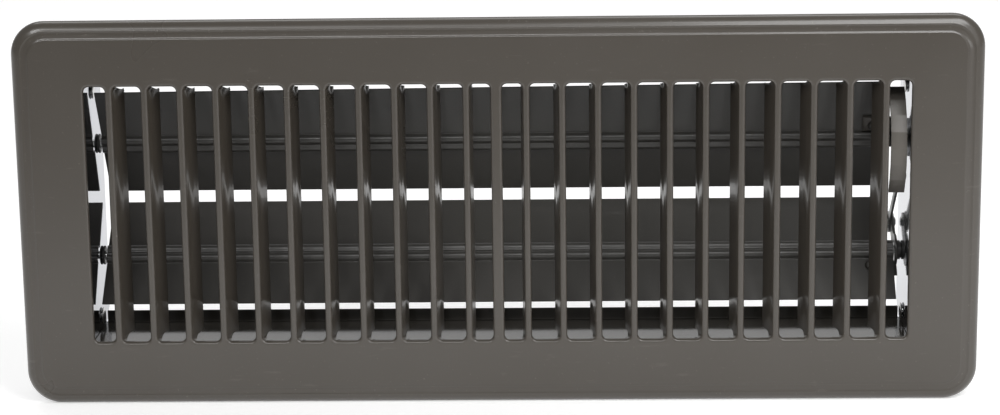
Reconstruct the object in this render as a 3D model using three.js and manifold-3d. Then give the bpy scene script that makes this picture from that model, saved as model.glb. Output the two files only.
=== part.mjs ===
// A stamped-steel louvred floor register, nominal 4 x 12 in, with a two-blade damper.
// Millimetres, +Z up, face towards -Y; the origin is the middle of the plane that the rim rests on.
import * as THREE from "three";
import { mergeVertices } from "three/addons/utils/BufferGeometryUtils.js";
import Module from "manifold-3d";

const wasm = await Module();
wasm.setup();

// Face plate
const FACE_LENGTH = 342.9;
const FACE_HEIGHT = 139.7;
const CORNER_RADIUS = 12;
const FACE_DEPTH = 4.5;
const FACE_SHEET = 0.8;
const ROLL_WIDTH = 4.6;
const ROLL_RISE = 3.7;
const SLOPE_WIDTH = 8.6;

// Slots and the fins folded out of them
const SLOT_HALF_LENGTH = 46.6;
const SLOT_FIELD_HALF = 145.9;
const SLOT_END_RADIUS = 1.9;
const CENTRE_BAR = 4;
const FINS_PER_SIDE = 11;
const FIN_PITCH = 12.645;
const FIRST_FIN = 11.8;
const FIN_STRIP = 2.3;
const FIN_LEANS = [7.5, 11.5, 11.5, 11.5, 11.5, 11.5, 14, 17.5, 17.5, 17.5, 17.5];
const FIN_DEPTHS = [7.6, 10.2, 10.2, 10.2, 10.2, 10.2, 10.2, 10.2, 10.2, 10.2, 10.2];
const FIN_HALF_LENGTH = 45.6;
const FIN_CORNER = 4;

// Damper box
const SHEET = 0.8;
const GAP = 0.3;
const BOX_HALF_LENGTH = 147.4;
const BOX_HALF_HEIGHT = 47.5;
const END_DEPTH = 38;
const END_DEEP_HALF = 41;
const RAIL_NEAR = 2;
const RAIL_DEEP = 30.5;
const RAIL_LIP = 4.3;
const CORNER_TAB = { width: 9, near: 13, deep: 28 };
const FLANGE = { width: 8.5, halfHeight: 38 };
const CORNER_RIVET = { hole: 3.8, shank: 3.2, head: 6, depth: 21, height: 41.8 };

// Damper blades, turning about X
const PIVOT_HEIGHT = 21;
const PIVOT_DEPTH = 29;
const BLADE_SHEET = 0.6;
const BLADE_INNER = 22.25;
const BLADE_OUTER = { upper: { left: 23, right: 25.1 }, lower: { left: 20.5, right: 20.3 } };
const BLADE_LEFT = -145.4;
const BLADE_TAPER = 0.9;
const JOURNAL = { halfWidth: 3.9, right: 143.8 };
const BLADE_RIGHT = {
  upper: { outer: 139.8, inner: 139.2 },
  lower: { outer: 143.7, inner: 137.5 },
};
const RIB = { foot: 3.4, top: 2.5, rise: 2.1 };
const UPPER_OPEN = 27;
const LOWER_OPEN = -42;

// Pivots
const PIN_RADIUS = 1.5;
const PIN_INNER_END = 126;
const BORE_RADIUS = 1.8;
const BUSH = { collar: 3.5, barrel: 2.5, roll: 3.5, rollWidth: 0.6 };
const WASHER = { radius: 3.8, thickness: 0.5 };
const PIN_HEAD = { radius: 3, thickness: 1 };

// Thumb wheel, link and crank at the right-hand end
const LINK_PLANE = 144.1;
const WHEEL = { radius: 26, band: 1, width: 5.6, from: -38.5, to: 54.5, facets: 7, hub: 7 };
const FOOT = { from: 4.1, to: 10, inner: 131.5 };
const FOOT_RIVET = { hole: 1.6, shank: 1.3, head: 2.4, across: 6.6, along: 135.5 };
const WHEEL_PIN = { height: -10.59, depth: -17.18 };
const CRANK_PIN = { height: 8.5, depth: 9 };
const CRANK_HUB = 6;
const EYE_RADIUS = 3.4;
const WIDE_EYE_RADIUS = 3.9;
const LINK_HALF_WIDTH = 1.5;
const LINK_PIN = { radius: 1.2, hole: 1.5, slot: 2.6, head: 2 };
const CIRCLE_SIDES = 20;

const PAINT = { color: 0x5f594f, roughness: 0.32, metalness: 0 };
const ZINC = { color: 0xa9abab, roughness: 0.38, metalness: 0.9 };
const NYLON = { color: 0x2a2724, roughness: 0.55, metalness: 0 };

const rad = THREE.MathUtils.degToRad;

// Stands a section drawn in the XY plane on end, its first coordinate up the face.
const ON_END = new THREE.Matrix4().makeBasis(
  new THREE.Vector3(0, 0, 1),
  new THREE.Vector3(0, 1, 0),
  new THREE.Vector3(-1, 0, 0),
);

// The distance behind the face's front, as a place along Y.
const behindFace = (depth) => depth - FACE_DEPTH;

function solidOf(geometry) {
  const bare = geometry.index ? geometry.toNonIndexed() : geometry.clone();
  bare.deleteAttribute("normal");
  bare.deleteAttribute("uv");
  const merged = mergeVertices(bare, 1e-4);
  return new wasm.Manifold(
    new wasm.Mesh({
      numProp: 3,
      vertProperties: merged.attributes.position.array,
      triVerts: new Uint32Array(merged.index.array),
    }),
  );
}

function geometryOf(solid) {
  const { vertProperties, triVerts } = solid.getMesh();
  const geometry = new THREE.BufferGeometry();
  geometry.setAttribute("position", new THREE.BufferAttribute(vertProperties, 3));
  geometry.setIndex(new THREE.BufferAttribute(triVerts, 1));
  geometry.computeVertexNormals();
  return geometry;
}

const join = (...geometries) =>
  geometryOf(geometries.map(solidOf).reduce((all, one) => all.add(one)));

const cut = (geometry, ...tools) =>
  geometryOf(tools.map(solidOf).reduce((left, tool) => left.subtract(tool), solidOf(geometry)));

function boxFrom(low, high) {
  const size = high.map((value, axis) => value - low[axis]);
  const middle = high.map((value, axis) => (value + low[axis]) / 2);
  return new THREE.BoxGeometry(...size).translate(...middle);
}

// A cylinder along X between two places.
function rodX(radius, from, to, y = 0, z = 0) {
  const rod = new THREE.CylinderGeometry(radius, radius, Math.abs(to - from), CIRCLE_SIDES);
  return rod.rotateZ(Math.PI / 2).translate((from + to) / 2, y, z);
}

// A lathe about X: the profile is a closed list of [x, radius].
function turnedX(profile) {
  const points = profile.map(([x, radius]) => new THREE.Vector2(radius, x));
  points.push(points[0].clone());
  let turned = new THREE.LatheGeometry(points, CIRCLE_SIDES).rotateZ(-Math.PI / 2);
  if (solidOf(turned).volume() < 0) {
    turned = new THREE.LatheGeometry(points.reverse(), CIRCLE_SIDES).rotateZ(-Math.PI / 2);
  }
  return turned;
}

// A flat sheet in the plane across X: the outline is in (height, depth behind the pivot).
function plateAcrossX(shape, x, thickness) {
  const plate = new THREE.ExtrudeGeometry(shape, { depth: thickness, bevelEnabled: false });
  const basis = new THREE.Matrix4().makeBasis(
    new THREE.Vector3(0, 1, 0),
    new THREE.Vector3(0, 0, 1),
    new THREE.Vector3(1, 0, 0),
  );
  return plate.applyMatrix4(basis).translate(x, 0, 0);
}

const outline = (points) => new THREE.Shape(points.map(([a, b]) => new THREE.Vector2(a, b)));

function roundedSlot(centre, halfWidth, halfLength, radius) {
  const slot = new THREE.Shape();
  const [left, right] = [centre - halfWidth, centre + halfWidth];
  slot.moveTo(left, -halfLength + radius);
  slot.absarc(left + radius, -halfLength + radius, radius, Math.PI, 1.5 * Math.PI);
  slot.absarc(right - radius, -halfLength + radius, radius, 1.5 * Math.PI, 2 * Math.PI);
  slot.absarc(right - radius, halfLength - radius, radius, 0, 0.5 * Math.PI);
  slot.absarc(left + radius, halfLength - radius, radius, 0.5 * Math.PI, Math.PI);
  return slot;
}

function roundedRing(inset) {
  const radius = CORNER_RADIUS - inset * 0.8;
  const points = roundedSlot(
    0,
    FACE_LENGTH / 2 - inset,
    FACE_HEIGHT / 2 - inset,
    Math.max(radius, 1),
  ).getPoints(6);
  return points.slice(0, -1);
}

// The pressed pan: rings of the outline joined in order, closed front and back.
function pan() {
  const slopeStart = FACE_SHEET * 0.7;
  const rings = [
    [0, 0],
    [0, -FACE_SHEET],
    [ROLL_WIDTH, -ROLL_RISE],
    [SLOPE_WIDTH, -FACE_DEPTH],
    [SLOPE_WIDTH + slopeStart, -FACE_DEPTH + FACE_SHEET],
    [ROLL_WIDTH + slopeStart, -ROLL_RISE + FACE_SHEET],
    [slopeStart * 2, 0],
  ];
  const loops = rings.map(([inset]) => roundedRing(inset));
  const count = loops[0].length;
  const positions = rings.flatMap(([, y], ring) => loops[ring].flatMap((p) => [p.x, y, p.y]));
  const index = [];
  for (let ring = 0; ring < rings.length; ring++) {
    const next = (ring + 1) % rings.length;
    if (ring === 3) continue;
    for (let i = 0; i < count; i++) {
      const j = (i + 1) % count;
      const [a, b, c, d] = [ring * count + i, ring * count + j, next * count + j, next * count + i];
      index.push(a, b, c, a, c, d);
    }
  }
  const caps = THREE.ShapeUtils.triangulateShape(loops[3], []);
  for (const [a, b, c] of caps) index.push(3 * count + a, 3 * count + b, 3 * count + c);
  for (const [a, b, c] of caps) index.push(4 * count + a, 4 * count + c, 4 * count + b);
  const geometry = new THREE.BufferGeometry();
  geometry.setAttribute("position", new THREE.Float32BufferAttribute(positions, 3));
  geometry.setIndex(index);
  if (solidOf(geometry).volume() < 0) geometry.setIndex([...index].reverse());
  return geometry;
}

const finEdge = (n) => FIRST_FIN + FIN_PITCH * n;

// Each slot runs from the outer edge of one fin's strip to the inner edge of the next.
function slotSpans() {
  const spans = [[CENTRE_BAR / 2, finEdge(0) - FIN_STRIP]];
  for (let n = 0; n < FINS_PER_SIDE; n++) {
    const outer = n + 1 < FINS_PER_SIDE ? finEdge(n + 1) - FIN_STRIP : SLOT_FIELD_HALF;
    spans.push([finEdge(n), outer]);
  }
  return spans;
}

function slotCutter(centre, halfWidth) {
  const shape = roundedSlot(centre, halfWidth, SLOT_HALF_LENGTH, SLOT_END_RADIUS);
  const cutter = new THREE.ExtrudeGeometry(shape, {
    depth: 2 * FACE_DEPTH,
    bevelEnabled: false,
    curveSegments: 4,
  });
  return cutter.rotateX(Math.PI / 2);
}

// A fin's leg hangs from the inner edge of its strip, its deep edge nearer the middle.
function finLeg(side, n) {
  const depth = FIN_DEPTHS[n];
  const leg = outline([
    [-FIN_HALF_LENGTH, 0],
    [FIN_HALF_LENGTH, 0],
    [FIN_HALF_LENGTH, depth - FIN_CORNER],
    [FIN_HALF_LENGTH - FIN_CORNER, depth],
    [-FIN_HALF_LENGTH + FIN_CORNER, depth],
    [-FIN_HALF_LENGTH, depth - FIN_CORNER],
  ]);
  const solid = new THREE.ExtrudeGeometry(leg, { depth: FACE_SHEET, bevelEnabled: false });
  solid.applyMatrix4(ON_END).translate(side > 0 ? FACE_SHEET : 0, 0, 0);
  solid.rotateZ(side * rad(FIN_LEANS[n]));
  return solid.translate(side * (finEdge(n) - FIN_STRIP), behindFace(0.15), 0);
}

function facePlate() {
  let plate = solidOf(pan());
  for (const side of [-1, 1]) {
    for (const [inner, outer] of slotSpans()) {
      const cutter = slotCutter((side * (inner + outer)) / 2, (outer - inner) / 2);
      plate = plate.subtract(solidOf(cutter));
    }
    for (let n = 0; n < FINS_PER_SIDE; n++) plate = plate.add(solidOf(finLeg(side, n)));
  }
  return geometryOf(plate);
}

// A long wall of the box. Its lip ends at the end plates; its end tabs fold over their outsides.
function rail(side) {
  const outer = side * BOX_HALF_HEIGHT;
  const inner = outer - side * SHEET;
  const end = BOX_HALF_LENGTH + GAP + SHEET;
  const lipEnd = BOX_HALF_LENGTH - SHEET - GAP;
  const sorted = (a, b) => [Math.min(a, b), Math.max(a, b)];
  const [wallLow, wallHigh] = sorted(inner, outer);
  const [lipLow, lipHigh] = sorted(inner - side * RAIL_LIP, outer);
  const [tabLow, tabHigh] = sorted(inner - side * CORNER_TAB.width, outer);
  const [near, deep] = [behindFace(RAIL_NEAR), behindFace(RAIL_DEEP)];
  const pieces = [
    boxFrom([-end, near, wallLow], [end, deep, wallHigh]),
    boxFrom([-lipEnd, deep - SHEET, lipLow], [lipEnd, deep, lipHigh]),
  ];
  const holes = [];
  for (const x of [-end, end]) {
    const [from, to] = sorted(x, x - Math.sign(x) * SHEET);
    pieces.push(
      boxFrom(
        [from, behindFace(CORNER_TAB.near), tabLow],
        [to, behindFace(CORNER_TAB.deep), tabHigh],
      ),
    );
    const place = [behindFace(CORNER_RIVET.depth), side * CORNER_RIVET.height];
    holes.push(rodX(CORNER_RIVET.hole / 2, from - 1, to + 1, ...place));
  }
  return cut(join(...pieces), ...holes);
}

function endPlate(side) {
  const inner = BOX_HALF_LENGTH - SHEET;
  const near = behindFace(FACE_SHEET + GAP);
  const [railDeep, deep] = [behindFace(RAIL_DEEP), behindFace(END_DEPTH)];
  const half = BOX_HALF_HEIGHT - SHEET - GAP;
  const wall = outline([
    [near, -half],
    [railDeep, -half],
    [deep, -END_DEEP_HALF],
    [deep, END_DEEP_HALF],
    [railDeep, half],
    [near, half],
  ]);
  const from = side > 0 ? inner : -BOX_HALF_LENGTH;
  const tip = side * (inner + FLANGE.width);
  const root = side * inner;
  const flange = boxFrom(
    [Math.min(root, tip), near, -FLANGE.halfHeight],
    [Math.max(root, tip), near + SHEET, FLANGE.halfHeight],
  );
  const holes = [];
  for (const z of [-1, 1]) {
    const span = [from - 1, from + SHEET + 1];
    const rivet = [behindFace(CORNER_RIVET.depth), z * CORNER_RIVET.height];
    const pivot = [behindFace(PIVOT_DEPTH), z * PIVOT_HEIGHT];
    holes.push(rodX(CORNER_RIVET.hole / 2, ...span, ...rivet));
    holes.push(rodX(BUSH.barrel + GAP, ...span, ...pivot));
  }
  return cut(join(plateAcrossX(wall, from, SHEET), flange), ...holes);
}

// A corner rivet's flat head lies inside the box, clear of the blades' ends.
function cornerRivet(side) {
  const inner = BOX_HALF_LENGTH - SHEET - GAP;
  const outer = BOX_HALF_LENGTH + SHEET + 2 * GAP;
  const { head, shank } = CORNER_RIVET;
  return turnedX(
    [
      [inner - 0.6, 0],
      [inner - 0.6, head / 2.4],
      [inner, head / 2],
      [inner, shank / 2],
      [outer, shank / 2],
      [outer, head / 2.2],
      [outer + 0.6, head / 2.6],
      [outer + 1, head / 5],
      [outer + 1, 0],
    ].map(([x, radius]) => [side * x, radius]),
  );
}

// A damper blade, flat in the plane across Y through its pivot, its rib pressed towards -Y.
// Outwards is the side nearer its rail: +1 for the upper blade, -1 for the lower one.
// Seen from the front its ends taper towards the middle of the box and carry a journal each.
function blade(outwards) {
  const half = BLADE_SHEET / 2;
  const reach = BLADE_OUTER.upper.right + 1;
  const { foot: ribFoot, top, rise } = RIB;
  const section = outline([
    [-reach, half],
    [-ribFoot, half],
    [-top, half - rise],
    [top, half - rise],
    [ribFoot, half],
    [reach, half],
    [reach, -half],
    [ribFoot + half, -half],
    [top + half, -half - rise],
    [-top - half, -half - rise],
    [-ribFoot - half, -half],
    [-reach, -half],
  ]);
  const length = JOURNAL.right - BLADE_LEFT;
  const strip = new THREE.ExtrudeGeometry(section, { depth: length, bevelEnabled: false });
  strip.applyMatrix4(ON_END).translate(JOURNAL.right, 0, 0);
  const level = outwards > 0 ? "upper" : "lower";
  const [outer, right] = [BLADE_OUTER[level], BLADE_RIGHT[level]];
  const journal = JOURNAL.halfWidth;
  const front = outline(
    [
      [BLADE_LEFT, outer.left],
      [right.outer, outer.right],
      [right.outer, journal],
      [JOURNAL.right, journal],
      [JOURNAL.right, -journal],
      [right.inner, -journal],
      [right.inner, -BLADE_INNER],
      [BLADE_LEFT + BLADE_TAPER, -BLADE_INNER],
      [BLADE_LEFT + BLADE_TAPER / 2, 0],
    ].map(([x, across]) => [x, outwards * across]),
  );
  const sheet = new THREE.ExtrudeGeometry(front, { depth: 8, bevelEnabled: false });
  sheet.rotateX(Math.PI / 2).translate(0, 4, 0);
  const hole = new THREE.CylinderGeometry(FOOT_RIVET.hole, FOOT_RIVET.hole, 4, CIRCLE_SIDES);
  hole.translate(FOOT_RIVET.along, 0, outwards * FOOT_RIVET.across);
  return geometryOf(solidOf(strip).intersect(solidOf(sheet)).subtract(solidOf(hole)));
}

function pivotPin(side) {
  const head = BOX_HALF_LENGTH + BUSH.rollWidth + WASHER.thickness + 3 * GAP;
  return turnedX(
    [
      [PIN_INNER_END, 0],
      [PIN_INNER_END, PIN_RADIUS],
      [head, PIN_RADIUS],
      [head, PIN_HEAD.radius],
      [head + PIN_HEAD.thickness * 0.6, PIN_HEAD.radius],
      [head + PIN_HEAD.thickness, PIN_HEAD.radius * 0.7],
      [head + PIN_HEAD.thickness, 0],
    ].map(([x, radius]) => [side * x, radius]),
  );
}

function pivotBush(side) {
  const inner = BOX_HALF_LENGTH - SHEET - GAP;
  const outer = BOX_HALF_LENGTH + GAP;
  const collarEnd = side > 0 ? LINK_PLANE + SHEET + GAP : -BLADE_LEFT + GAP;
  return turnedX(
    [
      [collarEnd, BORE_RADIUS],
      [collarEnd, BUSH.collar],
      [inner, BUSH.collar],
      [inner, BUSH.barrel],
      [outer, BUSH.barrel],
      [outer, BUSH.roll],
      [outer + BUSH.rollWidth, BUSH.roll * 0.85],
      [outer + BUSH.rollWidth, BORE_RADIUS],
    ].map(([x, radius]) => [side * x, radius]),
  );
}

function springWasher(side) {
  const from = BOX_HALF_LENGTH + BUSH.rollWidth + 2 * GAP;
  const to = from + WASHER.thickness;
  return turnedX(
    [
      [from, BORE_RADIUS],
      [from, WASHER.radius],
      [to, WASHER.radius],
      [to, BORE_RADIUS],
    ].map(([x, radius]) => [side * x, radius]),
  );
}

// A foot lies on the blade beside its rib; facing is -1 on the front side and +1 on the back.
function foot(outwards, facing) {
  const near = facing * (BLADE_SHEET / 2 + GAP);
  const far = near + facing * SHEET;
  const [from, to] = [outwards * FOOT.from, outwards * FOOT.to];
  return boxFrom(
    [FOOT.inner, Math.min(near, far), Math.min(from, to)],
    [LINK_PLANE + SHEET, Math.max(near, far), Math.max(from, to)],
  );
}

function footHole(outwards) {
  const hole = new THREE.CylinderGeometry(FOOT_RIVET.hole, FOOT_RIVET.hole, 8, CIRCLE_SIDES);
  return hole.translate(FOOT_RIVET.along, 0, outwards * FOOT_RIVET.across);
}

function footRivet(outwards, facing) {
  const { shank, head, along, across } = FOOT_RIVET;
  const blind = BLADE_SHEET / 2 + GAP;
  const stack = blind + SHEET + GAP;
  const points = [
    [0, -blind - 0.8],
    [head * 0.7, -blind - 0.8],
    [head, -blind],
    [shank, -blind],
    [shank, stack],
    [head, stack],
    [head * 0.7, stack + 0.8],
    [0, stack + 0.8],
  ].map(([radius, y]) => new THREE.Vector2(radius, y));
  const rivet = new THREE.LatheGeometry(points, CIRCLE_SIDES);
  if (facing < 0) rivet.rotateX(Math.PI);
  return rivet.translate(along, 0, outwards * across);
}

// The wheel's rim is a faceted arc about the pivot, folded inwards from its web.
// Angles are measured from straight ahead (-Y), positive towards +Z.
function sector(outer, inner) {
  const at = (radius, degrees) => {
    const angle = rad(degrees);
    return [-radius * Math.cos(angle), radius * Math.sin(angle)];
  };
  const step = (WHEEL.to - WHEEL.from) / WHEEL.facets;
  const angles = Array.from({ length: WHEEL.facets + 1 }, (_, i) => WHEEL.from + step * i);
  const rim = angles.map((angle) => at(outer, angle));
  const back = inner ? angles.reverse().map((angle) => at(inner, angle)) : [[0, 0]];
  return outline([...rim, ...back]);
}

function thumbWheel() {
  const web = plateAcrossX(sector(WHEEL.radius, 0), LINK_PLANE, SHEET);
  const band = plateAcrossX(
    sector(WHEEL.radius, WHEEL.radius - WHEEL.band),
    LINK_PLANE + SHEET - WHEEL.width,
    WHEEL.width,
  );
  const hub = rodX(WHEEL.hub, LINK_PLANE, LINK_PLANE + SHEET);
  const { height, depth } = WHEEL_PIN;
  const eye = rodX(EYE_RADIUS, LINK_PLANE, LINK_PLANE + SHEET, depth, height);
  const tilted = foot(1, -1).rotateX(rad(UPPER_OPEN));
  const span = [LINK_PLANE - 1, LINK_PLANE + SHEET + 1];
  return cut(
    join(web, band, hub, eye, tilted),
    rodX(BORE_RADIUS, ...span),
    rodX(LINK_PIN.hole, ...span, depth, height),
    footHole(1).rotateX(rad(UPPER_OPEN)),
  );
}

function crankArm() {
  const { height, depth } = CRANK_PIN;
  const span = [LINK_PLANE, LINK_PLANE + SHEET];
  const reach = Math.hypot(height, depth);
  const arm = boxFrom([0, 0, -EYE_RADIUS], [SHEET, reach, EYE_RADIUS]);
  arm.rotateX(Math.atan2(height, depth)).translate(LINK_PLANE, 0, 0);
  const tilted = foot(-1, 1).rotateX(rad(LOWER_OPEN));
  const long = [LINK_PLANE - 1, LINK_PLANE + SHEET + 1];
  return cut(
    join(rodX(CRANK_HUB, ...span), rodX(EYE_RADIUS, ...span, depth, height), arm, tilted),
    rodX(BORE_RADIUS, ...long),
    rodX(LINK_PIN.hole, ...long, depth, height),
    footHole(-1).rotateX(rad(LOWER_OPEN)),
  );
}

// The link lies on the inner side of the wheel's web and the crank arm. Its places are measured
// from the wheel pin, and its far eye is wide, to leave the crank pin room to wander.
function linkRod() {
  const across = CRANK_PIN.height - WHEEL_PIN.height - 2 * PIVOT_HEIGHT;
  const deeper = CRANK_PIN.depth - WHEEL_PIN.depth;
  const from = LINK_PLANE - GAP - SHEET;
  const to = from + SHEET;
  const length = Math.hypot(across, deeper);
  const strip = boxFrom([0, 0, -LINK_HALF_WIDTH], [SHEET, length, LINK_HALF_WIDTH]);
  strip.rotateX(Math.atan2(across, deeper)).translate(from, 0, 0);
  return cut(
    join(strip, rodX(EYE_RADIUS, from, to), rodX(WIDE_EYE_RADIUS, from, to, deeper, across)),
    rodX(LINK_PIN.hole, from - 1, to + 1),
    rodX(LINK_PIN.slot, from - 1, to + 1, deeper, across),
  );
}

function linkPin() {
  const inner = LINK_PLANE - SHEET - 2 * GAP;
  const outer = LINK_PLANE + SHEET + GAP;
  const { radius, head } = LINK_PIN;
  return turnedX([
    [inner - 0.6, 0],
    [inner - 0.6, head * 1.4],
    [inner, head * 1.6],
    [inner, radius],
    [outer, radius],
    [outer, head],
    [outer + 0.7, head * 0.7],
    [outer + 0.7, 0],
  ]);
}

const register = new THREE.Group();

function place(parent, name, geometry, finish, position = [0, 0, 0]) {
  const mesh = new THREE.Mesh(geometry, new THREE.MeshStandardMaterial(finish));
  mesh.name = name;
  mesh.position.set(...position);
  parent.add(mesh);
}

place(register, "face_plate", facePlate(), PAINT);
for (const [name, side] of [["upper", 1], ["lower", -1]]) {
  place(register, `rail_${name}`, rail(side), PAINT);
}
const rivetDepth = behindFace(CORNER_RIVET.depth);
for (const [end, side] of [["left", -1], ["right", 1]]) {
  place(register, `end_plate_${end}`, endPlate(side), ZINC);
  for (const [level, up] of [["upper", 1], ["lower", -1]]) {
    const corner = [0, rivetDepth, up * CORNER_RIVET.height];
    place(register, `corner_rivet_${level}_${end}`, cornerRivet(side), ZINC, corner);
    const pivot = [0, behindFace(PIVOT_DEPTH), up * PIVOT_HEIGHT];
    place(register, `pivot_bush_${level}_${end}`, pivotBush(side), NYLON, pivot);
  }
}

// What turns on a pivot line hangs in a group there; blades are turned from closed to open.
for (const [level, up, open] of [["upper", 1, UPPER_OPEN], ["lower", -1, LOWER_OPEN]]) {
  const axle = new THREE.Group();
  axle.position.set(0, behindFace(PIVOT_DEPTH), up * PIVOT_HEIGHT);
  register.add(axle);
  const tilt = new THREE.Group();
  tilt.rotation.x = rad(open);
  axle.add(tilt);
  place(tilt, `damper_blade_${level}`, blade(up), PAINT);
  place(tilt, `foot_rivet_${level}`, footRivet(up, -up), ZINC);
  place(axle, `pivot_pin_${level}_left`, pivotPin(-1), ZINC);
  place(axle, `pivot_pin_${level}_right`, pivotPin(1), ZINC);
  place(axle, `spring_washer_${level}`, springWasher(1), ZINC);
  if (up > 0) {
    const pin = [0, WHEEL_PIN.depth, WHEEL_PIN.height];
    place(axle, "thumb_wheel", thumbWheel(), PAINT);
    place(axle, "link_pin_upper", linkPin(), ZINC, pin);
    place(axle, "link_rod", linkRod(), PAINT, pin);
  } else {
    const pin = [0, CRANK_PIN.depth, CRANK_PIN.height];
    place(axle, "crank_arm", crankArm(), PAINT);
    place(axle, "link_pin_lower", linkPin(), ZINC, pin);
  }
}

export default register;
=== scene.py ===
"""A stamped-steel louvred floor register with its damper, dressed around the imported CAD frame.

The register stands on its lower long edge, its face towards -Y. Everything is in metres; the
lists of sheet-metal sizes are in millimetres and are scaled where they become vertices.
"""
import math

import bpy
import bmesh
from mathutils import Matrix, Vector
from mathutils.geometry import tessellate_polygon


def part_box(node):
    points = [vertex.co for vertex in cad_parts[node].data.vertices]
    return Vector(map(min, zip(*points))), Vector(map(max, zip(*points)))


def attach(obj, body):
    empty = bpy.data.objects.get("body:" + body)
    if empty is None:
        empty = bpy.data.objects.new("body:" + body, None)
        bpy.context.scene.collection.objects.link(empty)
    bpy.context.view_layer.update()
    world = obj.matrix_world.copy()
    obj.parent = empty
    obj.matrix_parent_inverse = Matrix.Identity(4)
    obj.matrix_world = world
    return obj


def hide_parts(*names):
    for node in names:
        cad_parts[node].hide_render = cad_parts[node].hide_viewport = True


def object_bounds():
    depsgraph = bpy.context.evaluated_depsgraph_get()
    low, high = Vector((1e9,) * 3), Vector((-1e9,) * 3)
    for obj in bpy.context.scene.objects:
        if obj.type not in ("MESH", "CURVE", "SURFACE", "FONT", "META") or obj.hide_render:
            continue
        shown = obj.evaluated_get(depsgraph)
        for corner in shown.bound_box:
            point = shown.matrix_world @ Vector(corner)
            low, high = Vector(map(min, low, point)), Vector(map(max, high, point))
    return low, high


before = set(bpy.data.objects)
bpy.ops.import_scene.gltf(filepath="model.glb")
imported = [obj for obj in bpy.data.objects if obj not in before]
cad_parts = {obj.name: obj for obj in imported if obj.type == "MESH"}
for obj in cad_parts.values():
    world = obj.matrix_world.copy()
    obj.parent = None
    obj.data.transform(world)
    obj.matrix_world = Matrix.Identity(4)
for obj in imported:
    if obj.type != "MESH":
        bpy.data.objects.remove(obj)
CAD_BOX = [list(corner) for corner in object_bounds()]
MM = 0.001


def span(node):
    """The lowest and highest corners of a CAD node, in millimetres."""
    low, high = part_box(node)
    return [value / MM for value in low], [value / MM for value in high]


FACE_LOW, FACE_HIGH = span("face_plate")
FACE_HALF_LENGTH = FACE_HIGH[0]
FACE_HALF_HEIGHT = FACE_HIGH[2]
FACE_FRONT = FACE_LOW[1]
SHEET = 0.8

# Pressed rim: distance in from the edge, and height above the plane that the rim rests on.
RIM_PROFILE = [
    (0.30, 0.00), (0.06, 0.10), (0.00, 0.35), (0.04, 0.80), (0.20, 1.35), (0.50, 1.95),
    (0.95, 2.55), (1.50, 3.05), (2.10, 3.42), (2.65, 3.66), (2.95, 3.78), (3.15, 3.90),
    (3.35, 3.96), (3.55, 3.93), (3.75, 3.86), (4.00, 3.84), (4.80, 3.98), (5.60, 4.12),
    (5.95, 4.21), (6.15, 4.34), (6.35, 4.455), (6.60, 4.50), (6.90, 4.50),
]
CORNER_RADIUS = 12.0
CORNER_SHRINK = 0.85
LEAST_CORNER_RADIUS = 2.0
CORNER_STEPS = 14
FLAT_INSET = 7.5
FLAT_CORNER_RADIUS = 5.6
FACE_CREASE = 50.0

# Slots and fins
SLOT_HALF_LENGTH = 46.6
SLOT_FIELD_HALF = 145.9
SLOT_CORNER = 1.9
CENTRE_BAR = 4.0
FINS_PER_SIDE = 11
FIN_PITCH = 12.645
FIRST_FIN = 11.8
FIN_STRIP = 2.3
FIN_LEANS = [7.5, 11.5, 11.5, 11.5, 11.5, 11.5, 14.0, 17.5, 17.5, 17.5, 17.5]
FIN_DEPTHS = [7.6] + [10.2] * 10
ROLL_RADIUS = 1.12
ROLL_MARGIN = 0.02
LIP_LENGTH = 0.5
FIN_DROP = 0.15
FIN_SPREAD = 75.0
FIN_ROWS = (0.35, 0.7, 1.0)
ROLL_STEPS = 6
SLOT_STEPS = 6

# Edges of the refined pieces: sharper folds than this angle are rounded
EDGE_ANGLE = 32.0
WHEEL_CREASE = 9.0

# Damper
PIVOT_Y = 24.5
PIVOT_HEIGHT = 21.0
BLADE_SHEET = 0.6
BLADE_HALF = 22.25
TILT = {"upper": math.radians(27), "lower": math.radians(-42)}
LEVELS = {"upper": 1, "lower": -1}
ENDS = {"left": -1, "right": 1}


# ---------------------------------------------------------------- shader building

class Value:
    """A number socket of a material; arithmetic on it adds Math nodes."""

    def __init__(self, maker, socket):
        self.maker = maker
        self.socket = socket

    def maths(self, operation, first, second):
        return self.maker.node("ShaderNodeMath", {"operation": operation}, {0: first, 1: second})

    def __add__(self, other):
        return self.maths("ADD", self, other)

    def __sub__(self, other):
        return self.maths("SUBTRACT", self, other)

    def __mul__(self, other):
        return self.maths("MULTIPLY", self, other)

    def __rsub__(self, other):
        return self.maths("SUBTRACT", other, self)

    __radd__ = __add__
    __rmul__ = __mul__

    def between(self, low, high):
        """0 below low, 1 above high, smooth between."""
        settings = {"interpolation_type": "SMOOTHSTEP"}
        inputs = {"Value": self, "From Min": low, "From Max": high}
        return self.maker.node("ShaderNodeMapRange", settings, inputs)


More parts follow.
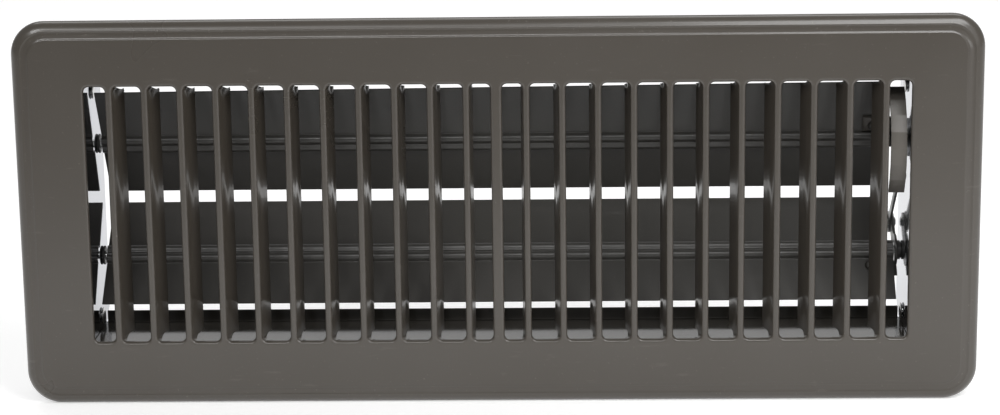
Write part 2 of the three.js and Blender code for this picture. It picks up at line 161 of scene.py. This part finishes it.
class Finish:
    """A material under construction; every node of it comes from node()."""

    def __init__(self, name):
        self.material = bpy.data.materials.new(name)
        self.material.use_nodes = True
        self.tree = self.material.node_tree
        self.tree.nodes.clear()
        self.place = self.node("ShaderNodeTexCoord", output="Object")

    def node(self, kind, settings=None, inputs=None, output=0):
        made = self.tree.nodes.new(kind)
        for key, value in (settings or {}).items():
            setattr(made, key, value)
        for key, value in (inputs or {}).items():
            if isinstance(value, Value):
                self.tree.links.new(value.socket, made.inputs[key])
            else:
                made.inputs[key].default_value = value
        return Value(self, made.outputs[output]) if made.outputs else None

    def stretched(self, scale):
        return self.node("ShaderNodeMapping", inputs={"Vector": self.place, "Scale": scale})

    def noise(self, scale, detail=3.0, roughness=0.5, where=None):
        inputs = {"Vector": where or self.place, "Scale": scale, "Detail": detail}
        inputs["Roughness"] = roughness
        return self.node("ShaderNodeTexNoise", inputs=inputs)

    def mix(self, factor, first, second):
        """A colour between two colours."""
        inputs = {0: factor, 6: first, 7: second}
        return self.node("ShaderNodeMix", {"data_type": "RGBA"}, inputs, output=2)

    def bump(self, height, strength, distance, normal=None):
        inputs = {"Height": height, "Strength": strength, "Distance": distance}
        if normal:
            inputs["Normal"] = normal
        return self.node("ShaderNodeBump", inputs=inputs)

    def principled(self, **inputs):
        named = {key.replace("_", " "): value for key, value in inputs.items()}
        surface = self.node("ShaderNodeBsdfPrincipled", inputs=named)
        self.node("ShaderNodeOutputMaterial", inputs={"Surface": surface})
        return self.material


def rgb(red, green, blue):
    return (red, green, blue, 1.0)


# Sizes of the enamel's patterns, in repeats a metre
MOTTLE_SCALE = 9.0
SPECK_SCALE = 900.0
SCUFF_SCALE = 70.0
PEEL_SCALE = 520.0
RIPPLE_SCALE = 60.0
SCUFF_STRETCH = (1.0, 1.0, 6.0)
DUST = rgb(0.32, 0.3, 0.27)
RIPPLE_HEIGHT = 0.0006
PEEL_HEIGHT = 0.0002


def enamel(name, colour, lighter, roughness, dust=0.12, coat=0.25):
    """Gloss enamel on pressed steel: faint mottling, orange peel, a little dust and fine scuffs."""
    finish = Finish(name)
    cloud = finish.noise(MOTTLE_SCALE, 4.0, 0.55).between(0.32, 0.7)
    speck = finish.noise(SPECK_SCALE, 2.0, 0.6).between(0.66, 0.74)
    streaks = finish.stretched(SCUFF_STRETCH)
    scuff = finish.noise(SCUFF_SCALE, 5.0, 0.65, streaks).between(0.62, 0.74)
    body = finish.mix(cloud, colour, lighter)
    dusty = finish.mix((speck + scuff * 0.5) * dust, body, DUST)
    peel = finish.noise(PEEL_SCALE, 2.0, 0.5)
    ripple = finish.noise(RIPPLE_SCALE, 2.0, 0.4)
    waves = finish.bump(ripple, 0.10, RIPPLE_HEIGHT)
    normal = finish.bump(peel, 0.06, PEEL_HEIGHT, waves)
    gloss = cloud * 0.05 + scuff * 0.10 + speck * 0.15 + roughness
    return finish.principled(
        Base_Color=dusty, Roughness=gloss, Normal=normal, Specular_IOR_Level=0.5,
        Coat_Weight=coat, Coat_Roughness=0.08,
    )


ROLLING = (1.0, 0.06, 1.0)
GRAIN_HEIGHT = 0.0002


def plated_steel(name, colour, dark, roughness, spangle, relief):
    """Bright zinc plate: soft grain, rolling streaks, a slight haze and a shallow relief."""
    finish = Finish(name)
    patches = finish.node(
        "ShaderNodeTexVoronoi", {"feature": "SMOOTH_F1"},
        {"Vector": finish.place, "Scale": spangle, "Smoothness": 0.6}, output="Color",
    )
    grain = finish.node("ShaderNodeSeparateColor", inputs={"Color": patches})
    streak = finish.noise(140.0, 3.0, 0.6, finish.stretched(ROLLING))
    haze = finish.noise(35.0, 3.0, 0.5).between(0.35, 0.75)
    tone = finish.mix(grain * 0.35 + streak * 0.3, colour, dark)
    normal = finish.bump(streak + grain * 0.5, relief, GRAIN_HEIGHT)
    return finish.principled(
        Base_Color=tone, Metallic=1.0, Roughness=roughness + haze * 0.03 + grain * 0.02,
        Normal=normal,
    )


NYLON_BLACK = rgb(0.02, 0.019, 0.018)
NYLON_GREY = rgb(0.045, 0.042, 0.04)


def moulded_nylon(name):
    """Dark moulded nylon with a fine grain."""
    finish = Finish(name)
    grain = finish.noise(1500.0, 2.0, 0.6)
    tone = finish.mix(finish.noise(120.0), NYLON_BLACK, NYLON_GREY)
    return finish.principled(
        Base_Color=tone, Roughness=grain * 0.15 + 0.42, Normal=finish.bump(grain, 0.1, 0.0001)
    )


# Painted shade on the paper: it darkens from this distance in front of the register to that one
PAPER_NEAR = 0.10
PAPER_FAR = 0.55


def paper_with_painted_light(name, colour, front, strength):
    """Matt paper with painted shade and painted light: it turns from its colour to a darker one in
    front of the register, and it glows a little, which lifts its shadows.
    """
    finish = Finish(name)
    fibre = finish.noise(300.0, 2.0, 0.6)
    pale = finish.mix(fibre, colour, tuple(min(1.0, c * 1.02) for c in colour))
    along = finish.node("ShaderNodeSeparateXYZ", inputs={"Vector": finish.place}, output="Y")
    shade = finish.mix((along * -1.0).between(PAPER_NEAR, PAPER_FAR), pale, front)
    return finish.principled(
        # The emission is painted light: the paper glows a little to lift its shadows
        Base_Color=shade, Roughness=0.9, Emission_Color=shade, Emission_Strength=strength,
    )


BROWN = rgb(0.046, 0.039, 0.031)
BROWN_LIGHT = rgb(0.052, 0.045, 0.037)
FACE_PAINT = enamel("face_enamel", BROWN, BROWN_LIGHT, 0.27)
# The box enamel is the face's brown made darker: painted shade for the rails inside the register
BOX_ENAMEL_PAINTED_SHADE = enamel(
    "box_enamel_painted_shade", rgb(0.040, 0.037, 0.032), rgb(0.048, 0.044, 0.038), 0.07, dust=0.03, coat=0.0
)
# The blade enamel is the face's brown made darker: painted shade for the blades, crank, link and
# foot rivets inside the box
BLADE_ENAMEL_PAINTED_SHADE = enamel(
    "blade_enamel_painted_shade", rgb(0.036, 0.034, 0.030), rgb(0.044, 0.041, 0.037), 0.34, dust=0.05, coat=0.1
)
WHEEL_PAINT = enamel(
    "wheel_enamel", rgb(0.066, 0.059, 0.051), rgb(0.08, 0.072, 0.062), 0.36, dust=0.15, coat=0.0
)
END_STEEL = plated_steel(
    "end_plate_steel", rgb(0.42, 0.43, 0.46), rgb(0.36, 0.37, 0.40),
    roughness=0.03, spangle=60.0, relief=0.008,
)
ZINC = plated_steel(
    "zinc_plate", rgb(0.62, 0.62, 0.61), rgb(0.42, 0.42, 0.42),
    roughness=0.26, spangle=900.0, relief=0.04,
)
NYLON = moulded_nylon("dark_nylon")


# ---------------------------------------------------------------- mesh helpers

DOUBLES = 1e-6
LOOSE_DOUBLES = 2e-6
FLAT_ENOUGH = math.radians(1.0)


def mesh_object(name, vertices, faces, material):
    """A mesh object from vertices in millimetres."""
    mesh = bpy.data.meshes.new(name)
    mesh.from_pydata([tuple(v * MM for v in vertex) for vertex in vertices], [], faces)
    mesh.materials.append(material)
    made = bpy.data.objects.new(name, mesh)
    bpy.context.collection.objects.link(made)
    return made


def clean(obj):
    """Merges a mesh's doubles and turns its faces outwards."""
    work = bmesh.new()
    work.from_mesh(obj.data)
    bmesh.ops.remove_doubles(work, verts=work.verts, dist=DOUBLES)
    bmesh.ops.recalc_face_normals(work, faces=work.faces)
    work.to_mesh(obj.data)
    work.free()


def apply_modifiers(obj):
    """Replaces the object's mesh with what its modifiers make of it."""
    graph = bpy.context.evaluated_depsgraph_get()
    mesh = bpy.data.meshes.new_from_object(obj.evaluated_get(graph))
    obj.modifiers.clear()
    old = obj.data
    obj.data = mesh
    bpy.data.meshes.remove(old)
    mesh.name = obj.name


def smooth(obj, degrees):
    """Smooth shading, with creases where faces meet at more than an angle."""
    obj.data.shade_smooth()
    obj.data.set_sharp_from_angle(angle=math.radians(degrees))


def soften(obj, width, segments=2, degrees=EDGE_ANGLE, flat=False):
    """Rounds an object's sharp edges by a width in millimetres; flat is for mirror faces."""
    bevel = obj.modifiers.new("edges", "BEVEL")
    bevel.width = width * MM
    bevel.segments = segments
    bevel.limit_method = "ANGLE"
    bevel.angle_limit = math.radians(degrees)
    bevel.harden_normals = not flat
    bevel.use_clamp_overlap = True
    if flat:
        obj.data.shade_flat()
    else:
        obj.data.shade_smooth()
    apply_modifiers(obj)


def thicken(obj, thickness, offset=-1.0):
    """Gives a sheet its thickness in millimetres, behind its faces or shared about them."""
    solid = obj.modifiers.new("sheet", "SOLIDIFY")
    solid.thickness = thickness * MM
    solid.offset = offset
    solid.use_even_offset = False
    apply_modifiers(obj)


def stand_in(obj, body, slot, *nodes):
    """Hides the CAD nodes that a finished piece stands in for and parents the piece to its body."""
    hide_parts(*nodes)
    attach(obj, body)
    return obj


def refined(node, body, slot, material, width, segments=2, degrees=EDGE_ANGLE, flat=False):
    """A CAD node's own shape with its edges rounded."""
    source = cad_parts[node]
    mesh = source.data.copy()
    made = bpy.data.objects.new(node + "_finished", mesh)
    bpy.context.collection.objects.link(made)
    mesh.transform(source.matrix_world)
    mesh.materials.clear()
    mesh.materials.append(material)
    work = bmesh.new()
    work.from_mesh(mesh)
    bmesh.ops.remove_doubles(work, verts=work.verts, dist=LOOSE_DOUBLES)
    bmesh.ops.dissolve_limit(
        work, angle_limit=FLAT_ENOUGH, verts=work.verts, edges=work.edges
    )
    work.to_mesh(mesh)
    work.free()
    soften(made, width, segments, degrees, flat)
    return stand_in(made, body, slot, node)


# ---------------------------------------------------------------- the pressed face

def rounded_loop(centre, half_width, half_height, radius, steps):
    """Anticlockwise points (x, z) of a rounded rectangle, starting at its right-hand side."""
    points = []
    corners = ((1, 1, 0), (-1, 1, 90), (-1, -1, 180), (1, -1, 270))
    for across, up, start in corners:
        middle_x = centre + across * (half_width - radius)
        middle_z = up * (half_height - radius)
        for step in range(steps + 1):
            angle = math.radians(start + 90.0 * step / steps)
            points.append(
                (middle_x + radius * math.cos(angle), middle_z + radius * math.sin(angle))
            )
    return points


def fin_edge(number):
    return FIRST_FIN + FIN_PITCH * number


def slots():
    """Each slot as (side, inner edge, outer edge, lean, depth of the fin at its outer edge)."""
    spans = [(CENTRE_BAR / 2, fin_edge(0) - FIN_STRIP, FIN_LEANS[0], FIN_DEPTHS[0])]
    for number in range(FINS_PER_SIDE):
        if number + 1 < FINS_PER_SIDE:
            outer = fin_edge(number + 1) - FIN_STRIP
            spans.append((fin_edge(number), outer, FIN_LEANS[number + 1], FIN_DEPTHS[number + 1]))
        else:
            spans.append((fin_edge(number), SLOT_FIELD_HALF, 0.0, 0.0))
    return [(side, *entry) for side in (-1, 1) for entry in spans]


def fin_share(angle):
    """How much of the fin's depth is left at an angle round a slot's corner."""
    return max(0.0, 1.0 - (angle / FIN_SPREAD) ** 2)


def slot_rows(side, inner, outer, lean, depth):
    """Rows of points from the flat face, over the rolled edge and down the slot's wall or fin."""
    centre = side * (inner + outer) / 2
    half_width = (outer - inner) / 2
    steps = SLOT_STEPS
    normals = []
    for start in (0, 90, 180, 270):
        normals += [start + 90.0 * step / steps for step in range(steps + 1)]
    outward = 0.0 if side > 0 else 180.0
    shares = []
    for angle in normals:
        away = abs((angle - outward + 180.0) % 360.0 - 180.0)
        shares.append(fin_share(away) if depth else 0.0)

    def point(index, offset, down):
        corner = index // (steps + 1)
        across, up = ((1, 1), (-1, 1), (-1, -1), (1, -1))[corner]
        angle = math.radians(normals[index])
        reach = SLOT_CORNER + offset
        x = centre + across * (half_width - SLOT_CORNER) + reach * math.cos(angle)
        z = up * (SLOT_HALF_LENGTH - SLOT_CORNER) + reach * math.sin(angle)
        return (x, FACE_FRONT + down, z)

    rows = [[point(i, ROLL_RADIUS + ROLL_MARGIN, 0.0) for i in range(len(normals))]]
    tilts = [math.radians(lean * share) for share in shares]
    drops = [FIN_DROP * share for share in shares]
    for step in range(ROLL_STEPS + 1):
        row = []
        for i, (tilt, drop) in enumerate(zip(tilts, drops)):
            middle = (ROLL_RADIUS - (ROLL_RADIUS - drop) * math.sin(tilt)) / math.cos(tilt)
            sweep = (math.pi / 2 - tilt) * step / ROLL_STEPS
            offset = middle - ROLL_RADIUS * math.sin(sweep)
            row.append(point(i, offset, ROLL_RADIUS * (1.0 - math.cos(sweep))))
        rows.append(row)
    for part in FIN_ROWS:
        row = []
        for i, (tilt, drop, share) in enumerate(zip(tilts, drops, shares)):
            start = (ROLL_RADIUS * (1.0 - math.sin(tilt)) - drop) / math.cos(tilt)
            end = ROLL_RADIUS + LIP_LENGTH + (depth - ROLL_RADIUS - LIP_LENGTH) * share
            along = start + (end - start) * part
            row.append(point(i, -along * math.sin(tilt), drop + along * math.cos(tilt)))
        rows.append(row)
    return rows


def pressed_face():
    """The whole face: rolled rim, flat, slots with rolled edges, and the fins folded from them."""
    vertices = []
    faces = []

    def add_rows(rows):
        starts = []
        for row in rows:
            starts.append(len(vertices))
            vertices.extend(row)
        count = len(rows[0])
        for first, second in zip(starts, starts[1:]):
            for i in range(count):
                j = (i + 1) % count
                faces.append((first + i, first + j, second + j, second + i))
        return starts

    rim = []
    for inset, height in RIM_PROFILE:
        loop = rounded_loop(
            0.0, FACE_HALF_LENGTH - inset, FACE_HALF_HEIGHT - inset,
            max(CORNER_RADIUS - inset * CORNER_SHRINK, LEAST_CORNER_RADIUS), CORNER_STEPS,
        )
        rim.append([(x, -height, z) for x, z in loop])
    rim.append([(x, FACE_FRONT, z) for x, z in rounded_loop(
        0.0, FACE_HALF_LENGTH - FLAT_INSET, FACE_HALF_HEIGHT - FLAT_INSET,
        FLAT_CORNER_RADIUS, CORNER_STEPS)])
    starts = add_rows(rim)
    boundary = list(range(starts[-1], starts[-1] + len(rim[-1])))
    loops = [boundary]
    for slot in slots():
        rows = slot_rows(*slot)
        first = add_rows(rows)[0]
        loops.append(list(range(first, first + len(rows[0]))))
    flat = [[Vector((vertices[i][0], vertices[i][2], 0.0)) for i in loop] for loop in loops]
    order = [i for loop in loops for i in loop]
    for triangle in tessellate_polygon(flat):
        faces.append(tuple(order[i] for i in triangle))
    face = mesh_object("pressed_face", vertices, faces, FACE_PAINT)
    clean(face)
    if max(face.data.polygons, key=lambda polygon: polygon.area).normal.y > 0:
        face.data.flip_normals()
    thicken(face, SHEET)
    smooth(face, FACE_CREASE)
    return stand_in(face, "housing", "face_paint", "face_plate")


# ---------------------------------------------------------------- turned pieces, by Geometry Nodes

def curve_points(mapping, values):
    """Sets a Float Curve to straight lines through equally spaced values from 0 to 1."""
    curve = mapping.curves[0]
    while len(curve.points) < len(values):
        curve.points.new(0.5, 0.5)
    for index, value in enumerate(values):
        curve.points[index].location = (index / (len(values) - 1), value)
        curve.points[index].handle_type = "VECTOR"
    mapping.update()


def turning_tree(name, profile, material):
    """A Geometry Nodes tree that turns a profile about X and repeats it at each point given."""
    tree = bpy.data.node_groups.new(name, "GeometryNodeTree")
    tree.interface.new_socket("Places", in_out="INPUT", socket_type="NodeSocketGeometry")
    for label in ("Start", "Length", "Radius"):
        tree.interface.new_socket(label, in_out="INPUT", socket_type="NodeSocketFloat")
    tree.interface.new_socket("Sides", in_out="INPUT", socket_type="NodeSocketInt")
    tree.interface.new_socket("Pieces", in_out="OUTPUT", socket_type="NodeSocketGeometry")

    def node(kind, settings=None, inputs=None):
        made = tree.nodes.new(kind)
        for key, value in (settings or {}).items():
            setattr(made, key, value)
        for key, value in (inputs or {}).items():
            if isinstance(value, bpy.types.NodeSocket):
                tree.links.new(value, made.inputs[key])
            else:
                made.inputs[key].default_value = value
        return made

    def maths(operation, first, second=0.0):
        return node("ShaderNodeMath", {"operation": operation}, {0: first, 1: second}).outputs[0]

    given = node("NodeGroupInput").outputs
    columns = maths("ADD", given["Sides"], 1.0)
    grid = node("GeometryNodeMeshGrid", None, {
        "Size X": 1.0, "Size Y": 1.0, "Vertices X": columns, "Vertices Y": len(profile),
    })
    place = node("ShaderNodeSeparateXYZ", None, {0: node("GeometryNodeInputPosition").outputs[0]})
    around = maths("MULTIPLY", maths("ADD", place.outputs[0], 0.5), 2 * math.pi)
    along = maths("ADD", place.outputs[1], 0.5)
    shape = []
    low = min(x for x, radius in profile)
    length = max(x for x, radius in profile) - low
    widest = max(radius for x, radius in profile)
    for values in ([(x - low) / length for x, _ in profile], [r / widest for _, r in profile]):
        curve = node("ShaderNodeFloatCurve", None, {"Value": along})
        curve_points(curve.mapping, values)
        shape.append(curve.outputs[0])
    axial = maths("ADD", maths("MULTIPLY", shape[0], given["Length"]), given["Start"])
    radial = maths("MULTIPLY", shape[1], given["Radius"])
    turned_place = node("ShaderNodeCombineXYZ", None, {
        0: axial,
        1: maths("MULTIPLY", radial, maths("COSINE", around)),
        2: maths("MULTIPLY", radial, maths("SINE", around)),
    })
    turned = node("GeometryNodeSetPosition", None, {
        "Geometry": grid.outputs["Mesh"], "Position": turned_place.outputs[0],
    })
    merged = node("GeometryNodeMergeByDistance", None, {
        "Geometry": turned.outputs[0], "Distance": LOOSE_DOUBLES,
    })
    turn = node("GeometryNodeInputNamedAttribute", {"data_type": "FLOAT"}, {"Name": "turn"})
    facing = node("ShaderNodeCombineXYZ", None, {2: turn.outputs[0]})
    copies = node("GeometryNodeInstanceOnPoints", None, {
        "Points": given["Places"], "Instance": merged.outputs[0], "Rotation": facing.outputs[0],
    })
    real = node("GeometryNodeRealizeInstances", None, {0: copies.outputs[0]})
    painted = node("GeometryNodeSetMaterial", None, {
        "Geometry": real.outputs[0], "Material": material,
    })
    node("NodeGroupOutput", None, {0: painted.outputs[0]})
    return tree, {"Start": low * MM, "Length": length * MM, "Radius": widest * MM}


TURNED_SIDES = 40
TURNED_CREASE = 30.0


def turned(name, profile, places, material):
    """Copies of a turned profile of (x, radius) points; each place is (x, y, z, faces left)."""
    tree, sizes = turning_tree(name + "_turning", profile, material)
    made = mesh_object(name, [place[:3] for place in places], [], material)
    turn = made.data.attributes.new("turn", "FLOAT", "POINT")
    for index, place in enumerate(places):
        turn.data[index].value = math.pi if place[3] else 0.0
    modifier = made.modifiers.new("turning", "NODES")
    modifier.node_group = tree
    sizes["Sides"] = TURNED_SIDES
    for item in tree.interface.items_tree:
        if item.in_out == "INPUT" and item.name in sizes:
            modifier[item.identifier] = sizes[item.name]
    apply_modifiers(made)
    clean(made)
    smooth(made, TURNED_CREASE)
    return made


# Turned profiles: place along X at the right-hand end, and radius
CORNER_RIVET = [
    (145.72, 0), (145.72, 2.2), (145.80, 2.6), (145.98, 2.86), (146.20, 2.95), (146.30, 2.86),
    (146.30, 1.6), (148.80, 1.6), (148.80, 2.68), (148.98, 2.72), (149.30, 2.42),
    (149.58, 1.85), (149.75, 1.05), (149.80, 0),
]
PIVOT_PIN = [
    (126.00, 0), (126.00, 1.15), (126.35, 1.5), (149.40, 1.5), (149.40, 2.82), (149.55, 3.0),
    (149.95, 3.0), (150.22, 2.8), (150.36, 2.3), (150.40, 1.6), (150.32, 0.7), (150.30, 0),
]
SPRING_WASHER = [
    (148.60, 1.8), (148.60, 3.6), (148.70, 3.76), (148.85, 3.8), (149.00, 3.76), (149.10, 3.6),
    (149.10, 1.9), (149.02, 1.8), (148.60, 1.8),
]
LINK_PIN = [
    (142.10, 0), (142.10, 2.5), (142.25, 2.95), (142.50, 3.15), (142.70, 3.2), (142.70, 1.2),
    (145.20, 1.2), (145.20, 1.95), (145.40, 1.9), (145.65, 1.6), (145.82, 1.1), (145.90, 0),
]


COLLAR_ENDS = {"left": 145.7, "right": 145.2}


def bush_profile(collar_end):
    """A nylon bush: a collar inside the box, a barrel in the wall, and a rolled-over rim."""
    return [
        (collar_end, 1.8), (collar_end, 3.3), (collar_end + 0.15, 3.5), (146.30, 3.5),
        (146.30, 2.5), (147.70, 2.5), (147.70, 3.3), (147.85, 3.5), (148.05, 3.35),
        (148.25, 3.0), (148.30, 2.6), (148.30, 1.9), (148.22, 1.8), (collar_end, 1.8),
    ]


def build_turned():
    """Rivets, pins, bushes and washers, each kind in meshes parented to the body that carries them.
    """
    def at(node):
        low, high = span(node)
        return (0.0, (low[1] + high[1]) / 2, (low[2] + high[2]) / 2, high[0] < 0)

    rivets = [f"corner_rivet_{level}_{end}" for level in LEVELS for end in ENDS]
    piece = turned("corner_rivets", CORNER_RIVET, [at(node) for node in rivets], ZINC)
    stand_in(piece, "housing", "zinc", *rivets)
    for end, collar_end in COLLAR_ENDS.items():
        bushes = [f"pivot_bush_{level}_{end}" for level in LEVELS]
        places = [at(node) for node in bushes]
        piece = turned("nylon_bushes_" + end, bush_profile(collar_end), places, NYLON)
        stand_in(piece, "housing", "bush_plastic", *bushes)
    for level in LEVELS:
        body = level + "_damper"
        pins = [f"pivot_pin_{level}_{end}" for end in ENDS]
        piece = turned(f"pivot_pins_{level}", PIVOT_PIN, [at(node) for node in pins], ZINC)
        stand_in(piece, body, "zinc", *pins)
        for name, node, profile in (
            ("wave_washer_", "spring_washer_", SPRING_WASHER),
            ("link_stud_", "link_pin_", LINK_PIN),
        ):
            piece = turned(name + level, profile, [at(node + level)], ZINC)
            stand_in(piece, body, "zinc", node + level)


def build_refined():
    """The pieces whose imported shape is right, with their cut and folded edges rounded."""
    for level in LEVELS:
        refined("rail_" + level, "housing", "box_paint", BOX_ENAMEL_PAINTED_SHADE, 0.3, 3, flat=True)
        refined("foot_rivet_" + level, level + "_damper", "blade_paint", BLADE_ENAMEL_PAINTED_SHADE, 0.3, 3)
    for end in ENDS:
        refined("end_plate_" + end, "housing", "end_steel", END_STEEL, 0.2, 2, flat=True)
    refined("thumb_wheel", "upper_damper", "wheel_paint", WHEEL_PAINT, 0.3, 3, WHEEL_CREASE)
    refined("link_rod", "link", "blade_paint", BLADE_ENAMEL_PAINTED_SHADE, 0.2, 2)
    refined("crank_arm", "lower_damper", "blade_paint", BLADE_ENAMEL_PAINTED_SHADE, 0.2, 2)


# ---------------------------------------------------------------- damper blades

# Across the blade and towards the face: two beads pressed side by side, with fillets to the sheet.
BEADS = [
    (3.72, 0.00), (3.52, 0.04), (3.34, 0.22), (3.20, 0.55), (3.05, 1.10), (2.86, 1.55),
    (2.55, 1.90), (2.15, 2.12), (1.70, 2.20), (1.25, 2.12), (0.86, 1.94), (0.50, 1.74),
    (0.20, 1.65), (0.00, 1.63),
]
BLADE_LEFT = -145.4
BLADE_FIRST_COLUMN = -140.0
BLADE_TAPER = 0.9
BLADE_OUTER = {"upper": (23.0, 25.1), "lower": (20.5, 20.3)}
JOURNAL_HALF = 3.9
JOURNAL_RIGHT = 143.8
BLADE_RIGHT = {"upper": (139.8, 139.2), "lower": (143.7, 137.5)}
BLADE_COMMON_RIGHT = 136.0
BLADE_COLUMNS = 24
BLADE_EDGE = 0.18
BLADE_CREASE = 50.0
FLAT_SHARES = (1.0, 0.6, 0.25, 0.0)


def damper_blade(level):
    """A blade swept along X: two beads over its pins, square ends and a journal at the right."""
    outwards = LEVELS[level]
    outer_right, inner_right = BLADE_RIGHT[level]
    edge_left, edge_right = BLADE_OUTER[level]
    flat = [(share, JOURNAL_HALF, 0.0) for share in FLAT_SHARES]
    bead = [(0.0, across, rise) for across, rise in BEADS]
    mirrored = [(-share, -across, rise) for share, across, rise in reversed((flat + bead)[:-1])]
    section = flat + bead + mirrored
    vertices = []
    faces = []
    tilt = Matrix.Rotation(TILT[level], 3, "X")
    pivot = Vector((0.0, PIVOT_Y, PIVOT_HEIGHT * outwards))

    def place(x, share, base, rise):
        along = (x - BLADE_LEFT) / (outer_right - BLADE_LEFT)
        width = edge_left + (edge_right - edge_left) * along if share > 0 else BLADE_HALF
        across = base + share * (width - JOURNAL_HALF)
        vertices.append(tuple(tilt @ Vector((x, -rise, across * outwards)) + pivot))

    def strip(rows, columns):
        start = len(vertices)
        for share, base, rise in rows:
            left = BLADE_LEFT + BLADE_TAPER * (0.5 - share / 2)
            for column in columns:
                place(left if column is None else column, share, base, rise)
        wide = len(columns)
        for row in range(len(rows) - 1):
            for column in range(wide - 1):
                first = start + row * wide + column
                faces.append((first, first + 1, first + wide + 1, first + wide))

    step = (BLADE_COMMON_RIGHT - BLADE_FIRST_COLUMN) / BLADE_COLUMNS
    columns = [BLADE_FIRST_COLUMN + step * i for i in range(BLADE_COLUMNS + 1)]
    strip(section, [None] + columns)
    top = section.index((0.0, JOURNAL_HALF, 0.0))
    bottom = len(section) - 1 - top
    ends = sorted({inner_right, outer_right, JOURNAL_RIGHT})
    for rows, limit in (
        (section[:top + 1], outer_right),
        (section[top:bottom + 1], JOURNAL_RIGHT),
        (section[bottom:], inner_right),
    ):
        strip(rows, [BLADE_COMMON_RIGHT] + [x for x in ends if x <= limit])
    blade = mesh_object("damper_blade_sheet_" + level, vertices, faces, BLADE_ENAMEL_PAINTED_SHADE)
    clean(blade)
    thicken(blade, BLADE_SHEET, 0.0)
    soften(blade, BLADE_EDGE, 2, BLADE_CREASE)
    return stand_in(blade, level + "_damper", "blade_paint", "damper_blade_" + level)


pressed_face()
build_refined()
build_turned()
for blade_level in LEVELS:
    damper_blade(blade_level)

# ---------------------------------------------------------------- studio

LENS = 91.8
SENSOR = 36.0
CAMERA_DISTANCE = 0.9099
CAMERA_AIM = Vector((0.0008, 0.0003, 0.0012))
CAMERA_AZIMUTH = math.radians(1.57)
CAMERA_ELEVATION = math.radians(12.36)
CAMERA_ROLL = math.radians(-0.75)


def studio_camera():
    data = bpy.data.cameras.new("camera")
    data.lens = LENS
    data.sensor_width = SENSOR
    data.dof.use_dof = False
    camera = bpy.data.objects.new("camera", data)
    bpy.context.collection.objects.link(camera)
    turn = Matrix.Rotation(CAMERA_AZIMUTH, 4, "Z") @ Matrix.Rotation(
        math.pi / 2 - CAMERA_ELEVATION, 4, "X"
    ) @ Matrix.Rotation(CAMERA_ROLL, 4, "Z")
    back = turn.to_3x3() @ Vector((0.0, 0.0, 1.0))
    camera.matrix_world = Matrix.Translation(CAMERA_AIM + back * CAMERA_DISTANCE) @ turn
    bpy.context.scene.camera = camera


# Each light: name, place, the point it faces, its two sides and its power
LIGHTS = [
    ("key", (-0.5, -1.5, 1.05), (0, 0, 0), (1.4, 0.25), 13.0),
    ("fill", (1.4, -1.3, 0.35), (0, 0, 0), (0.9, 1.0), 2.8),
    ("table_light", (0.35, -0.45, 0.5), (0.12, -0.1, -0.07), (0.5, 0.3), 3.5),
    ("side_strip", (0.78, -1.05, 0.0), (0.1, 0, 0), (0.12, 0.6), 1.2),
    ("backdrop_light", (0.0, 1.0, 2.0), (0, 1.3, -0.06), (2.4, 0.8), 20.0),
]
ROOM_STRENGTH = 0.35
PAPER_PALE = rgb(0.88, 0.88, 0.88)
# The grey is painted shade on the paper in front of the register
PAPER_PAINTED_SHADE = rgb(0.3, 0.3, 0.3)
# The paper's glow is painted light that lifts its shadows
PAPER_PAINTED_GLOW = 0.3
PAPER_REACH = 4.5
PAPER_CURVE = 1.0
PAPER_CURVE_STEPS = 12
PAPER_TOP = 2.5


def area_light(name, place, aim, size, power):
    data = bpy.data.lights.new(name, "AREA")
    data.shape = "RECTANGLE"
    data.size, data.size_y = size
    data.energy = power
    light = bpy.data.objects.new(name, data)
    bpy.context.collection.objects.link(light)
    turn = (Vector(aim) - Vector(place)).to_track_quat("-Z", "Y")
    light.matrix_world = Matrix.Translation(place) @ turn.to_matrix().to_4x4()


def studio_sweep():
    """A wide sheet of paper: the floor, a quarter curve and a wall a long way behind."""
    floor_height = CAD_BOX[0][2]
    bend = PAPER_REACH - PAPER_CURVE
    profile = [(-PAPER_REACH, floor_height), (bend, floor_height)]
    for step in range(1, PAPER_CURVE_STEPS + 1):
        angle = math.radians(90.0 * step / PAPER_CURVE_STEPS)
        rise = PAPER_CURVE * (1 - math.cos(angle))
        profile.append((bend + PAPER_CURVE * math.sin(angle), floor_height + rise))
    profile.append((PAPER_REACH, PAPER_TOP))
    vertices = [(x / MM, y / MM, z / MM) for y, z in profile for x in (-PAPER_REACH, PAPER_REACH)]
    faces = [(2 * i, 2 * i + 1, 2 * i + 3, 2 * i + 2) for i in range(len(profile) - 1)]
    paper = paper_with_painted_light("pale_paper_painted_light", PAPER_PALE, PAPER_PAINTED_SHADE, PAPER_PAINTED_GLOW)
    sweep = mesh_object("studio_sweep", vertices, faces, paper)
    sweep.data.shade_smooth()


def studio():
    studio_sweep()
    world = bpy.data.worlds.new("soft_room")
    bpy.context.scene.world = world
    world.use_nodes = True
    background = world.node_tree.nodes["Background"]
    background.inputs["Color"].default_value = rgb(1.0, 1.0, 1.0)
    background.inputs["Strength"].default_value = ROOM_STRENGTH
    for light in LIGHTS:
        area_light(*light)


studio_camera()
studio()
bpy.context.scene.view_settings.view_transform = "Standard"
